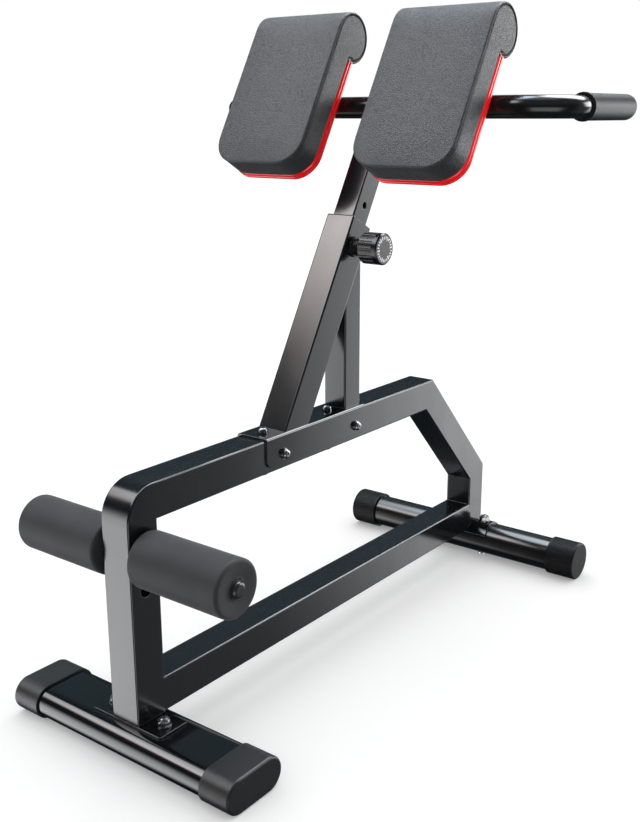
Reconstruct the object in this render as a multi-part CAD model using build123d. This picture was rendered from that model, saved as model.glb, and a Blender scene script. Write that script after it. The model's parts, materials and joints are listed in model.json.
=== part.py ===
from build123d import *
import math
import os

# Roman chair (back-extension bench), millimetres, +Z up.
# The origin is on the floor under the middle of the footprint. +X points from the ankle rollers
# towards the thigh pads and the handle; the near side, with the locking knob, is towards -Y.

os.makedirs("parts", exist_ok=True)

# ---------------------------------------------------------------- driving dimensions

# square steel tube of the frame loop
tube = 50.0                       # outer width of the tube
wall = 2.0                        # tube wall
edge_round = 2.5                  # rounding along the tube's long edges
half = tube / 2

# feet
foot_clearance = 3.0              # the caps hold the foot tubes this far off the floor
rear_tube_width = 96.0            # flat-oval tube, along X
rear_tube_height = 43.0
rear_foot_half = 204.0            # half length along Y, over the caps
rear_cap_length = 49.0
rear_cap_round = 3.5              # rounding of the closed end
front_tube_radius = 30.0
front_cap_wall = 4.0
front_foot_half = 243.0
front_cap_length = 53.0
front_cap_round = 3.0
cap_ribs = 56                     # ribs round a front cap
rib_groove = 0.9                  # radius of the grooves between the ribs
cap_end = 4.0                     # thickness of a cap's closed end
plate = 3.0                       # base plates and saddle bracket
plate_edge = 0.8                  # rounding of their edges
rear_plate_length = 128.0         # along Y
rear_plate_corner = 3.0
front_plate_length = 128.0
front_plate_rise = 14.0           # its long edges are this far above the round foot's axis
foot_bolt_y = [-46.0, 46.0]

# places along X, measured forwards from the rear face of the frame
frame_length = 907.0              # rear face to front face
footprint_rear = -26.0            # rear edge of the rear foot caps
footprint_front = 916.0           # front edge of the front foot caps
rear_face = -(footprint_rear + footprint_front) / 2
front_face = rear_face + frame_length
rear_foot_x = rear_face + half
front_foot_x = front_face - half

# heights of the frame loop
rear_tube_top = foot_clearance + rear_tube_height
frame_bottom = rear_tube_top + plate
beam_lift = 2.0                   # the bottom beam stops this far above the end of the upright
frame_top = 375.5
bend_radius = 48.0                # outside radius of the bent rear corner
front_axis_z = foot_clearance + front_tube_radius
front_plate_radius = front_tube_radius + plate
front_corner_x = rear_face + 714.0   # where the top beam turns down into the diagonal
front_corner_z = 172.0               # where the diagonal turns into the front upright

# slanted post and everything that follows its slope
post_angle = 60.5                 # degrees above the floor
post_mouth_x = rear_face + 495.0  # centre of the outer post's open upper end
post_mouth_z = 661.5
inner_tube = 38.0
inner_round = 2.3                 # rounding along the inner post's edges
hole_pitch = 33.6                 # spacing of the height holes
hole_radius = 5.5
holes_each_way = 2                # holes above and below the one in use
pin_depth = 38.2                  # the locking pin sits this far below the mouth
inner_bottom = -190.0             # inner post, measured along the slope from the mouth
bar_rise = 175.0                  # handle bar axis above the mouth, along the slope
bar_offset = 31.0                 # and out from the post axis, towards the pads
inner_top = bar_rise + 22.0

# saddle bracket over the top beam
saddle_rear = rear_face + 263.0
saddle_length = 240.0
saddle_drop = 41.5                # flanges reach this far below the top beam's top face
saddle_top = frame_top + plate
saddle_bend = 4.0                 # rounding along its two bends
saddle_corner = 11.0              # lower corners of the flanges
side_bolt_x = [rear_face + 301.0, rear_face + 478.0]
side_bolt_z = frame_top - 27.0
top_bolt_x = [rear_face + 287.0, rear_face + 440.0]
brace_rear = rear_face + 460.0
brace_tube = 40.0

# handle
bar_radius = 16.0
bar_wall = 2.0
arm_y = 309.0                     # centre line of each arm
bar_bend = 68.0                   # centre line radius of the bends
grip_start = 70.0                 # forwards of the bar's axis
grip_end = 229.0
grip_wall = 3.0
grip_end_thickness = 5.0
grip_end_round = 8.0
grip_lip = 1.2                    # height and length of the lip at the grip's open end
grip_lip_length = 5.0

# thigh pads, measured in the slope frame
pad_inner_y = 47.0                # inner and outer sides, from the mid-plane
pad_outer_y = 212.5
pad_bottom = 41.5
roll_rise = 271.5                 # centre of the rolled top edge
roll_radius = 37.6
pad_corner = 40.0
pad_plate_thickness = 4.0
pad_plate_width = 100.0
pad_plate_height = 110.0
pad_plate_corner = 10.0
pad_bolt_spacing = [-38.0, 38.0]  # up and down the slope, from the handle bar
pad_bolt_spread = [-35.0, 35.0]   # to either side of the pad's middle
shell_back = bar_offset + bar_radius + pad_plate_thickness
shell_depth = 13.0
shell_wall = 3.0
groove_rise = 5.2                 # groove round the tray's rim: distance from its back, width, depth
groove_width = 2.4
groove_depth = 1.4
shell_top = roll_rise - 30.5      # its top end is tucked into a slot in the roll
cushion_gap = 0.3                 # between the shell and the cushion
cushion_face = shell_back + 55.0
roll_offset = cushion_face - roll_radius
pad_middle_y = (pad_inner_y + pad_outer_y) / 2
pad_width = pad_outer_y - pad_inner_y

# ankle rollers
axle_height = 281.4
spare_hole_height = 236.0
axle_radius = 9.5
axle_wall = 1.5
axle_half = 182.0
plug_radius = 11.0
plug_height = 5.0
plug_depth = 18.0
roller_radius = 38.0
roller_inner_y = 31.0
roller_outer_y = 181.7
roller_round = 5.0                # rounding of the foams' rims
core_inner_y = half + 0.8
core_radius = 12.5
running_gap = 0.08                # radial clearance of parts that turn or slide on each other

# fasteners: M10 in the feet, M8 in the saddle and the pads
m10 = 5.0                         # shank radius
m8 = 4.0
bolt_hole = 0.2                   # radial clearance of a bolt hole
washer_thickness = 2.0
nut_height = 8.0
head_height = 5.5
button_width = 1.8                # head and nut radii over the shank's radius
hex_width = 1.85
collar_width = 1.45
washer_width = 2.0
socket_width = 0.6
socket_depth = 3.0
thread_end = 1.5                  # how far a bolt's end stands out of its nut
bolt_chamfer = 0.9
nut_chamfer = 0.8

slope = math.radians(post_angle)
slope_along = (math.cos(slope), 0, math.sin(slope))
slope_out = (-math.sin(slope), 0, math.cos(slope))

# Slope frame: Z runs up the post, X points out towards the pads, +Y is the near side.
post_frame = Location(Plane((post_mouth_x, 0, post_mouth_z), x_dir=slope_out, z_dir=slope_along))
# Pin frame: Z runs out through the near side, measured from the mid-plane.
pin_frame = post_frame * Location((0, 0, -pin_depth), (-90, 0, 0))


# ---------------------------------------------------------------- helpers

def save(shape, name):
    """Writes one sub-part under its node name."""
    export_step(shape, f"parts/{name}.step")


def cylinder_y(radius, y_from, y_to, x, z):
    """Solid rod along Y."""
    length = y_to - y_from
    return Pos(x, (y_from + y_to) / 2, z) * Rot(90, 0, 0) * Cylinder(radius, length)


def cylinder_z(radius, z_from, z_to, x=0, y=0):
    """Solid rod along Z."""
    return Pos(x, y, z_from) * Cylinder(radius, z_to - z_from, align=(Align.CENTER, Align.CENTER, Align.MIN))


def ring_z(outer, inner, z_from, z_to, x=0, y=0):
    """Plain ring along Z."""
    return cylinder_z(outer, z_from, z_to, x, y) - cylinder_z(inner, z_from, z_to, x, y)


def block(x_from, x_to, y_from, y_to, z_from, z_to):
    """Box given by its limits."""
    corner = Pos(x_from, y_from, z_from)
    return corner * Box(x_to - x_from, y_to - y_from, z_to - z_from, align=(Align.MIN, Align.MIN, Align.MIN))


def square_tube(width, tube_wall, z_from, z_to, round_by):
    """Square tube along Z with rounded edges."""
    inner = width - 2 * tube_wall
    profile = RectangleRounded(width, width, round_by)
    profile -= RectangleRounded(inner, inner, max(round_by - tube_wall, 0.5))
    return Pos(0, 0, z_from) * extrude(profile, z_to - z_from)


def group(solids):
    """Separate solids kept together in one node."""
    return Compound(children=list(solids))


# ---------------------------------------------------------------- fasteners, axis along +Z

def shank(radius, length):
    """Bolt shank from z = 0 down, chamfered at its end."""
    rod = cylinder_z(radius, -length, 0)
    return chamfer(rod.edges().group_by(Axis.Z)[0], bolt_chamfer)


def hex_prism(radius, height):
    """Hexagonal prism standing on z = 0 with the corners of its upper end turned off."""
    turned = cylinder_z(radius, 0, height)
    turned = chamfer(turned.edges().group_by(Axis.Z)[-1], nut_chamfer)
    return extrude(RegularPolygon(radius, 6), height) & turned


def button_bolt(radius, length):
    """Button-head bolt with a hex socket; the head stands on z = 0 and the shank points down."""
    dome = cylinder_z(button_width * radius, 0, head_height)
    dome = fillet(dome.edges().sort_by(Axis.Z)[-1], 0.75 * head_height)
    socket_floor = Pos(0, 0, head_height - socket_depth)
    socket = socket_floor * extrude(RegularPolygon(socket_width * radius, 6), socket_depth)
    return dome - socket + shank(radius, length)


def hex_bolt(radius, length):
    """Hex-head bolt; the head stands on z = 0 and the shank points down."""
    return hex_prism(hex_width * radius, head_height) + shank(radius, length)


def carriage_bolt(radius, head_thickness, length):
    """Flat-headed bolt pointing up; the head's upper face is on z = 0."""
    head = cylinder_z(washer_width * radius, -head_thickness, 0)
    return head + Rot(180, 0, 0) * shank(radius, length)


def hex_nut(radius):
    """Hex nut standing on z = 0, with its collar on top."""
    hex_height = 0.75 * nut_height
    body = hex_prism(hex_width * radius, hex_height)
    body += cylinder_z(collar_width * radius, hex_height, nut_height)
    return body - cylinder_z(radius, 0, nut_height)


def washer(radius):
    """Flat washer standing on z = 0."""
    return ring_z(washer_width * radius, radius, 0, washer_thickness)


# ---------------------------------------------------------------- frame loop

def loop_outline():
    """Outer outline of the frame loop in the XZ plane, with the bent rear corner."""
    bend_start = (rear_face, frame_top - bend_radius)
    bend_end = (rear_face + bend_radius, frame_top)
    reach = bend_radius * (1 - math.sqrt(0.5))
    bend_middle = (rear_face + reach, frame_top - reach)
    beam_bottom = frame_bottom + beam_lift
    straight = [
        bend_end,
        (front_corner_x, frame_top),
        (front_face, front_corner_z),
        (front_face, frame_bottom),
        (front_face - tube, frame_bottom),
        (front_face - tube, beam_bottom),
        (rear_face + tube, beam_bottom),
        (rear_face + tube, frame_bottom),
        (rear_face, frame_bottom),
        bend_start,
    ]
    return ThreePointArc(bend_start, bend_middle, bend_end) + Polyline(*straight)


def loop_window():
    """Inner outline of the loop: every side is one tube width inside the outer one."""
    fall = math.atan2(frame_top - front_corner_z, front_face - front_corner_x)
    upper = front_corner_x - tube * math.tan(fall / 2)
    lower = front_corner_z - tube * math.tan((math.pi / 2 - fall) / 2)
    beam_top = frame_bottom + beam_lift + tube
    return Polyline(
        (rear_face + tube, beam_top),
        (rear_face + tube, frame_top - tube),
        (upper, frame_top - tube),
        (front_face - tube, lower),
        (front_face - tube, beam_top),
        close=True,
    )


def extrude_y(face, width):
    """Extrudes a face drawn in XZ evenly to both sides of the mid-plane."""
    return extrude(Plane.XZ * face, width / 2, both=True)


def front_seat():
    """Cylinder of the curved plate on the round foot."""
    return cylinder_y(front_plate_radius, -tube, tube, front_foot_x, front_axis_z)


def main_frame():
    outside = make_face(loop_outline())
    window = make_face(loop_window())
    loop = extrude_y(outside - window, tube)
    rims = loop.edges().filter_by(lambda e: abs(abs(e.center().Y) - half) < 0.01)
    loop = fillet(rims, edge_round)
    hollow = offset(outside, -wall, kind=Kind.INTERSECTION) - offset(window, wall, kind=Kind.INTERSECTION)
    loop -= extrude_y(hollow, tube - 2 * wall)
    loop -= front_seat()
    for height in (axle_height, spare_hole_height):
        loop -= cylinder_y(axle_radius, -tube, tube, rear_foot_x, height)
    for x in side_bolt_x:
        loop -= cylinder_y(m8 + bolt_hole, -tube, tube, x, side_bolt_z)
    for x in top_bolt_x:
        loop -= cylinder_z(m8 + bolt_hole, frame_top - 2 * tube, frame_top + 1, x)
    return loop


# ---------------------------------------------------------------- feet

def oval_profile(width, height):
    """Flat-oval outline in XZ, centred on the rear foot's axis."""
    straight = width - height
    return SlotCenterToCenter(straight, height)


def rear_foot_solid(width, height, y_from, y_to):
    middle_z = foot_clearance + rear_tube_height / 2
    shape = extrude(oval_profile(width, height), y_to - y_from)
    return Pos(rear_foot_x, y_to, middle_z) * Rot(90, 0, 0) * shape


def rear_foot_tube():
    reach = rear_foot_half - cap_end
    outer = rear_foot_solid(rear_tube_width, rear_tube_height, -reach, reach)
    inner = rear_foot_solid(rear_tube_width - 2 * wall, rear_tube_height - 2 * wall, -reach, reach)
    shape = outer - inner
    for y in foot_bolt_y:
        shape -= cylinder_z(m10 + bolt_hole, 0, frame_bottom, rear_foot_x, y)
    return shape


def rear_foot_cap(side):
    """Smooth cup over one end of the flat-oval tube; side is -1 near, +1 far."""
    width = rear_tube_width + 2 * foot_clearance
    height = rear_tube_height + 2 * foot_clearance
    start = rear_foot_half - rear_cap_length
    cup = rear_foot_solid(width, height, start, rear_foot_half)
    cup = fillet(cup.edges().group_by(Axis.Y)[-1], rear_cap_round)
    cup -= rear_foot_solid(rear_tube_width, rear_tube_height, start, rear_foot_half - cap_end)
    if side < 0:
        return mirror(cup, Plane.XZ)
    return cup


def front_foot_tube():
    reach = front_foot_half - cap_end
    shape = cylinder_y(front_tube_radius, -reach, reach, front_foot_x, front_axis_z)
    shape -= cylinder_y(front_tube_radius - wall, -reach, reach, front_foot_x, front_axis_z)
    for y in foot_bolt_y:
        shape -= cylinder_z(m10 + bolt_hole, 0, front_axis_z * 2, front_foot_x, y)
    return shape


def front_foot_cap(side):
    """Round ribbed cup with a narrow flat underneath; side is -1 near, +1 far."""
    radius = front_tube_radius + front_cap_wall
    start = front_foot_half - front_cap_length
    cup = cylinder_y(radius, start, front_foot_half, front_foot_x, front_axis_z)
    cup = fillet(cup.edges().group_by(Axis.Y)[-1], front_cap_round)
    plain_end = 4.0               # length left smooth at each end of the grooves
    groove = Cylinder(rib_groove, front_cap_length - 2 * plain_end)
    middle_y = start + front_cap_length / 2
    for i in range(cap_ribs):
        turn = Pos(front_foot_x, middle_y, front_axis_z) * Rot(0, 360 * i / cap_ribs, 0)
        cup -= turn * Pos(radius, 0, 0) * Rot(90, 0, 0) * groove
    cup -= cylinder_y(front_tube_radius, start, front_foot_half - cap_end, front_foot_x, front_axis_z)
    cup -= block(front_foot_x - tube, front_foot_x + tube, 0, 2 * front_foot_half, -tube, 0)
    if side < 0:
        return mirror(cup, Plane.XZ)
    return cup


def rear_base_plate():
    outline = RectangleRounded(tube, rear_plate_length, rear_plate_corner)
    shape = Pos(rear_foot_x, 0, rear_tube_top) * extrude(outline, plate)
    shape = fillet(shape.edges().group_by(Axis.Z)[-1], plate_edge)
    for y in foot_bolt_y:
        shape -= cylinder_z(m10 + bolt_hole, rear_tube_top, frame_bottom, rear_foot_x, y)
    return shape


def front_base_plate():
    """Curved plate that hugs the top of the round foot."""
    reach = front_plate_length / 2
    shape = cylinder_y(front_plate_radius, -reach, reach, front_foot_x, front_axis_z)
    shape -= cylinder_y(front_tube_radius, -reach, reach, front_foot_x, front_axis_z)
    low = front_axis_z + front_plate_rise
    shape -= block(front_foot_x - tube, front_foot_x + tube, -2 * tube, 2 * tube, -tube, low)
    arcs = shape.edges().filter_by(GeomType.CIRCLE)
    shape = fillet(arcs.filter_by(lambda e: abs(e.radius - front_plate_radius) < 0.01), plate_edge)
    for y in foot_bolt_y:
        shape -= cylinder_z(m10 + bolt_hole, low, low + tube, front_foot_x, y)
    return shape


def foot_stack_bases():
    """The four places where a washer and a nut stand on a base plate."""
    for y in foot_bolt_y:
        yield Pos(rear_foot_x, y, frame_bottom)
        yield Pos(front_foot_x, y, front_axis_z + front_plate_radius)


def foot_bolts(x, plate_top):
    head = foot_clearance - 0.2   # the heads hang clear of the floor
    length = plate_top - foot_clearance + washer_thickness + nut_height + thread_end
    return group(Pos(x, y, foot_clearance) * carriage_bolt(m10, head, length) for y in foot_bolt_y)


# ---------------------------------------------------------------- saddle, outer post and brace

def saddle_bracket():
    """U channel over the top beam, with rounded lower corners on its flanges."""
    low = frame_top - saddle_drop
    outer_half = half + plate
    front = saddle_rear + saddle_length
    shape = block(saddle_rear, front, -outer_half, outer_half, low, saddle_top)
    long_edges = shape.edges().filter_by(Axis.X).group_by(Axis.Z)[-1]
    shape = fillet(long_edges, saddle_bend)
    corners = shape.edges().filter_by(Axis.Y).group_by(Axis.Z)[0]
    shape = fillet(corners, saddle_corner)
    rims = shape.edges().filter_by(lambda e: e.center().Z < saddle_top - saddle_bend - 0.1)
    rims = rims.filter_by(lambda e: abs(abs(e.center().Y) - outer_half) < 0.01)
    shape = fillet(rims, plate_edge)
    beam = block(saddle_rear, front, -half, half, low - tube, frame_top)
    beam = fillet(beam.edges().filter_by(Axis.X).group_by(Axis.Z)[-1], edge_round)
    shape -= beam
    for x in side_bolt_x:
        shape -= cylinder_y(m8 + bolt_hole, -tube, tube, x, side_bolt_z)
    for x in top_bolt_x:
        shape -= cylinder_z(m8 + bolt_hole, frame_top - 1, saddle_top + 1, x)
    return shape


def outer_post():
    """Slanted square tube, cut off level on the saddle."""
    length = post_mouth_z / math.sin(slope)   # long enough to pass through the saddle
    post = post_frame * square_tube(tube, wall, -length, 0, edge_round)
    post -= block(rear_face, front_face, -tube, tube, -tube, saddle_top)
    pin_hole = cylinder_z(m10 + bolt_hole, half - 2 * wall, half + wall)
    return post - pin_frame * pin_hole


def post_brace():
    """Vertical square tube under the outer post, cut to the post's slope."""
    centre_x = brace_rear + brace_tube / 2
    brace = Pos(centre_x, 0, 0) * square_tube(brace_tube, wall, saddle_top, post_mouth_z, edge_round)
    return brace - post_frame * block(-half, 6 * tube, -tube, tube, -8 * tube, 4 * tube)


def side_stacks():
    """Places on the near and far flange of the two cross bolts, with Z pointing outwards."""
    for x in side_bolt_x:
        near = Pos(x, -(half + plate), side_bolt_z) * Rot(90, 0, 0)
        far = Pos(x, half + plate, side_bolt_z) * Rot(-90, 0, 0)
        yield near, far


def top_stacks():
    """Places above the saddle and under the beam of the two upright bolts, with Z pointing outwards."""
    for x in top_bolt_x:
        yield Pos(x, 0, saddle_top), Pos(x, 0, frame_top - tube) * Rot(180, 0, 0)


def stack_bolts(stacks, clamped):
    """Button bolts through washers, the clamped parts and a nut."""
    length = clamped + washer_thickness * 2 + nut_height + thread_end
    lift = Pos(0, 0, washer_thickness)
    return group(head * lift * button_bolt(m8, length) for head, tail in stacks)


def saddle_washers():
    seats = [seat for pair in [*side_stacks(), *top_stacks()] for seat in pair]
    return group(seat * washer(m8) for seat in seats)


def saddle_nuts():
    tails = [pair[1] for pair in [*side_stacks(), *top_stacks()]]
    return group(tail * Pos(0, 0, washer_thickness) * hex_nut(m8) for tail in tails)


# ---------------------------------------------------------------- sliding guides of the post

def post_sleeve():
    """Guide sleeve in the mouth of the outer post, with a thin flange on top."""
    depth = 28.0
    flange = 1.6
    bore = inner_tube + 2 * running_gap
    bore_round = inner_round + running_gap
    sleeve = Pos(0, 0, -depth) * extrude(Rectangle(tube - 2 * wall, tube - 2 * wall), depth)
    sleeve = fillet(sleeve.edges().filter_by(Axis.Z), edge_round - wall)
    sleeve += extrude(RectangleRounded(tube, tube, edge_round), flange)
    sleeve -= Pos(0, 0, -depth) * extrude(RectangleRounded(bore, bore, bore_round), depth + flange)
    return post_frame * sleeve


def inner_plug_outline():
    """Outline that fills the inside of the inner post."""
    inside = inner_tube - 2 * wall
    return RectangleRounded(inside, inside, 0.5)


def post_glide():
    """Plug in the lower end of the inner post that slides in the outer post."""
    shoe = tube - 2 * wall - 2 * running_gap
    shoe_round = 2.0
    thickness = 12.0
    stem_length = 20.0
    foot = Pos(0, 0, inner_bottom - thickness)
    glide = foot * extrude(RectangleRounded(shoe, shoe, shoe_round), thickness)
    glide += Pos(0, 0, inner_bottom) * extrude(inner_plug_outline(), stem_length)
    return post_frame * glide


# ---------------------------------------------------------------- inner post and handle

bar_x = post_mouth_x + bar_rise * slope_along[0] + bar_offset * slope_out[0]
bar_z = post_mouth_z + bar_rise * slope_along[2] + bar_offset * slope_out[2]


def inner_post():
    """Square tube with the row of height holes, coped round the handle bar."""
    post = square_tube(inner_tube, wall, inner_bottom, inner_top, inner_round)
    for step in range(-holes_each_way, holes_each_way + 1):
        hole = Rot(90, 0, 0) * Cylinder(hole_radius, tube)
        post -= Pos(0, 0, -pin_depth + step * hole_pitch) * hole
    post = post_frame * post
    return post - cylinder_y(bar_radius, -tube, tube, bar_x, bar_z)


def post_cap():
    """Plug that closes the upper end of the inner post."""
    depth = 5.0
    lid = 2.5
    cap = Pos(0, 0, inner_top - depth) * extrude(inner_plug_outline(), depth)
    cap += Pos(0, 0, inner_top) * extrude(RectangleRounded(inner_tube, inner_tube, inner_round), lid)
    return post_frame * cap


def bar_sweep(radius):
    """Rod of the handle's U shape: across behind the pads, then forwards on both sides."""
    arm_end = bar_x + grip_end - grip_end_thickness
    corners = [
        (arm_end, -arm_y, bar_z),
        (bar_x, -arm_y, bar_z),
        (bar_x, arm_y, bar_z),
        (arm_end, arm_y, bar_z),
    ]
    path = FilletPolyline(*corners, radius=bar_bend)
    section = Plane(corners[0], z_dir=(-1, 0, 0)) * Circle(radius)
    return sweep(section, path=path)


def handle_bar():
    return bar_sweep(bar_radius) - bar_sweep(bar_radius - bar_wall)


def handle_grip(side):
    """Closed rubber grip over one arm, with a raised lip at its open end."""
    outer = bar_radius + grip_wall
    length = grip_end - grip_start
    grip = cylinder_z(outer, 0, length)
    grip = fillet(grip.edges().group_by(Axis.Z)[-1], grip_end_round)
    grip += cylinder_z(outer + grip_lip, 0, grip_lip_length)
    grip = fillet(grip.edges().group_by(Axis.Z)[0], grip_lip / 2)
    grip -= cylinder_z(bar_radius, 0, length - grip_end_thickness)
    return Pos(bar_x + grip_start, side * arm_y, bar_z) * Rot(0, 90, 0) * grip


# ---------------------------------------------------------------- thigh pads, in the slope frame

def pad_side(shape, side):
    """Puts a shape modelled on the near side (+Y of the slope frame) on the near or far side."""
    placed = post_frame * shape
    if side > 0:
        return mirror(placed, Plane.XZ)
    return placed


def pad_outline(inset, top):
    """Pad outline in the pad's plane, with large lower corners; extruded outwards along X."""
    low = pad_bottom + inset
    width = pad_width - 2 * inset
    shape = Pos(pad_middle_y, (low + top) / 2) * Rectangle(width, top - low)
    lower = shape.vertices().group_by(Axis.Y)[0]
    return fillet(lower, pad_corner - inset)


def pad_layer(inset, top, x_from, x_to):
    """Solid layer of the pad between two distances from the post's axis."""
    plane = Plane((x_from, 0, 0), x_dir=(0, 1, 0), z_dir=(1, 0, 0))
    return extrude(plane * pad_outline(inset, top), x_to - x_from)


def pad_bolt_seats():
    """The four bolt places of one pad on the back of its steel plate, with Z pointing backwards."""
    back = bar_offset + bar_radius
    for spacing in pad_bolt_spacing:
        for spread in pad_bolt_spread:
            yield Pos(back, pad_middle_y + spread, bar_rise + spacing) * Rot(0, -90, 0)


def drill(shape, radius):
    """Drills the pad's four bolt holes through a layer."""
    for seat in pad_bolt_seats():
        shape -= seat * cylinder_z(radius, -2 * shell_depth, shell_depth)
    return shape


def pad_plate(side):
    """Steel plate welded along the handle bar."""
    back = bar_offset + bar_radius
    outline = RectangleRounded(pad_plate_width, pad_plate_height, pad_plate_corner)
    plane = Plane((back, pad_middle_y, bar_rise), x_dir=(0, 1, 0), z_dir=(1, 0, 0))
    shape = drill(extrude(plane * outline, pad_plate_thickness), m8 + bolt_hole)
    return pad_side(shape, side)


def pad_shell(side):
    """Moulded tray with a groove round its rim."""
    rim = shell_back + shell_depth
    tray = pad_layer(0, shell_top, shell_back, rim)
    tray -= pad_layer(shell_wall, shell_top - shell_wall, shell_back + shell_wall, rim)
    groove_from = shell_back + groove_rise
    groove_to = groove_from + groove_width
    skin = pad_layer(-1, shell_top + 1, groove_from, groove_to)
    skin -= pad_layer(groove_depth, shell_top - groove_depth, groove_from, groove_to)
    return pad_side(drill(tray - skin, m8 + bolt_hole), side)


def pad_board(side):
    """Plywood board that fills the tray and carries the cushion."""
    top = shell_top - shell_wall
    board = pad_layer(shell_wall, top, shell_back + shell_wall, shell_back + shell_depth)
    for seat in pad_bolt_seats():
        board -= seat * tee_nut_envelope()
    return pad_side(board, side)


# distances of a pad's layers behind the bolt seats
board_back_depth = pad_plate_thickness + shell_wall
board_face_depth = pad_plate_thickness + shell_depth
tee_radius = 5.2
tee_flange_radius = 10.0
tee_flange = 1.4


def tee_nut_envelope():
    barrel = cylinder_z(tee_radius, -board_face_depth, -board_back_depth)
    return barrel + cylinder_z(tee_flange_radius, -board_face_depth, -board_face_depth + tee_flange)


def tee_nut():
    """Threaded barrel with a flange pressed into the board's face."""
    return tee_nut_envelope() - cylinder_z(m8, -board_face_depth, -board_back_depth)


def pad_bolt():
    """Hex bolt from behind the plate into the tee nut."""
    return hex_bolt(m8, board_face_depth - tee_flange)


def both_pads(make):
    """One fastener at every bolt seat of both pads."""
    near = [post_frame * seat * make() for seat in pad_bolt_seats()]
    return group(near + [mirror(solid, Plane.XZ) for solid in near])


def pad_cushion(side):
    """Plain solid of the foam and its cover: a slab that ends in a slotted roll at the top."""
    back = shell_back + shell_depth + cushion_gap
    slab = pad_layer(0, roll_rise, back, cushion_face)
    roll = Pos(roll_offset, pad_middle_y, roll_rise) * Rot(90, 0, 0) * Cylinder(roll_radius, pad_width)
    slot = pad_layer(-1, shell_top + cushion_gap, shell_back - cushion_gap, back)
    return pad_side(slab + (roll - slot), side)


# ---------------------------------------------------------------- locking pin, in the pin frame

barrel_radius = 13.0
barrel_foot = [15.5, 4.0]         # radius and height of its wider base
barrel_rings = [33.0, 36.5, 40.0]
ring_depth = 1.0
ring_width = 1.2
barrel_end = 59.0
chamber_radius = 8.5
bush_depth = 3.0
rod_radius = 4.0
tip_chamfer = 1.5
tip_start = 21.0
shoulder = [35.5, 39.0]
knob_start = 45.0
knob_length = 34.0
knob_radius = 23.5
knob_flutes = 20
flute_radius = 2.1
flute_offset = 0.5                # the flutes' centres are this far outside the knob's radius
flute_length = 25.0               # from the knob's back
knob_floor = 71.0                 # inner face of the knob's end wall
clip_start = 75.2
clip_end = 76.2
clip_radius = 7.0
clip_groove = 0.8                 # depth of the clip's groove in the rod
knob_cap_radius = 20.0
knob_cap_depth = 1.5


def pin_barrel():
    """Boss welded on the outer post, with a wider base and turned rings."""
    boss = cylinder_z(barrel_radius, half, barrel_end)
    foot_radius, foot_height = barrel_foot
    boss += cylinder_z(foot_radius, half, half + foot_height)
    for height in barrel_rings:
        boss -= ring_z(barrel_radius, barrel_radius - ring_depth, height, height + ring_width)
    return pin_frame * (boss - cylinder_z(chamber_radius, half, barrel_end))


def pin_bush():
    """Ring screwed into the end of the boss; the rod runs through it."""
    ring = ring_z(chamber_radius, rod_radius + running_gap, barrel_end - bush_depth, barrel_end)
    return pin_frame * ring


def pin_rod():
    """Round pin with a tapered tip, a spring shoulder and a thin rod out to the knob."""
    tip = cylinder_z(m10, tip_start, shoulder[0])
    tip = chamfer(tip.edges().group_by(Axis.Z)[0], tip_chamfer)
    rod = tip + cylinder_z(chamber_radius - running_gap, shoulder[0], shoulder[1])
    rod += cylinder_z(rod_radius, shoulder[1], clip_end + clip_groove)
    rod += cylinder_z(rod_radius + 1.5, knob_floor - 1.0, knob_floor - 0.1)   # collar behind the knob
    rod -= ring_z(rod_radius + 1, rod_radius - clip_groove, clip_start, clip_end)
    return pin_frame * rod


def rod_clip():
    """Retaining ring that holds the knob on the rod."""
    clip = ring_z(clip_radius, rod_radius - clip_groove, clip_start, clip_end)
    gap = 3.0                     # half the width of the ring's opening
    return pin_frame * (clip - block(0, clip_radius, -gap, gap, clip_start, clip_end))


def pin_spring():
    """Coil spring between the pin's shoulder and the bush."""
    wire = 0.65
    coil_radius = 6.2
    turns = 6
    end_room = wire + 0.05
    start = shoulder[1] + end_room
    height = barrel_end - bush_depth - shoulder[1] - 2 * end_room
    path = Helix(pitch=height / turns, height=height, radius=coil_radius)
    section = Plane(path @ 0, z_dir=path % 0) * Circle(wire)
    return pin_frame * Pos(0, 0, start) * sweep(section, path=path)


def pin_knob():
    """Hollow fluted knob that covers the end of the boss."""
    knob_end = knob_start + knob_length
    knob = cylinder_z(knob_radius, knob_start, knob_end)
    knob = chamfer(knob.edges().group_by(Axis.Z)[-1], 2.0)
    knob = chamfer(knob.edges().group_by(Axis.Z)[0], 1.5)
    flute = Pos(knob_radius + flute_offset, 0, knob_start) * Cylinder(flute_radius, 2 * flute_length)
    for i in range(knob_flutes):
        knob -= Rot(0, 0, 360 * i / knob_flutes) * flute
    knob -= cylinder_z(barrel_radius + 0.6, knob_start, knob_floor)
    knob -= cylinder_z(rod_radius + running_gap, knob_floor, knob_end)
    knob -= cylinder_z(clip_radius + 1, clip_start - 0.1, knob_end)
    knob -= cylinder_z(knob_cap_radius, knob_end - knob_cap_depth, knob_end)
    return pin_frame * knob


def knob_cap():
    """Disc that closes the knob's face."""
    knob_end = knob_start + knob_length
    return pin_frame * cylinder_z(knob_cap_radius, knob_end - knob_cap_depth, knob_end)


# ---------------------------------------------------------------- ankle rollers

def on_both_sides(shape):
    """The shape and its mirror image across the mid-plane."""
    return group([shape, mirror(shape, Plane.XZ)])


def axle_rod(radius, y_from, y_to):
    return cylinder_y(radius, y_from, y_to, rear_foot_x, axle_height)


def roller_axle():
    return axle_rod(axle_radius, -axle_half, axle_half) - axle_rod(axle_radius - axle_wall, -axle_half, axle_half)


def axle_plug():
    """Domed plug in the far end of the axle."""
    plug = cylinder_z(plug_radius, 0, plug_height)
    plug = fillet(plug.edges().group_by(Axis.Z)[-1], plug_height - 0.3)
    plug += cylinder_z(axle_radius - axle_wall, -plug_depth, 0)
    return Pos(rear_foot_x, axle_half, axle_height) * Rot(-90, 0, 0) * plug


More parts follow.
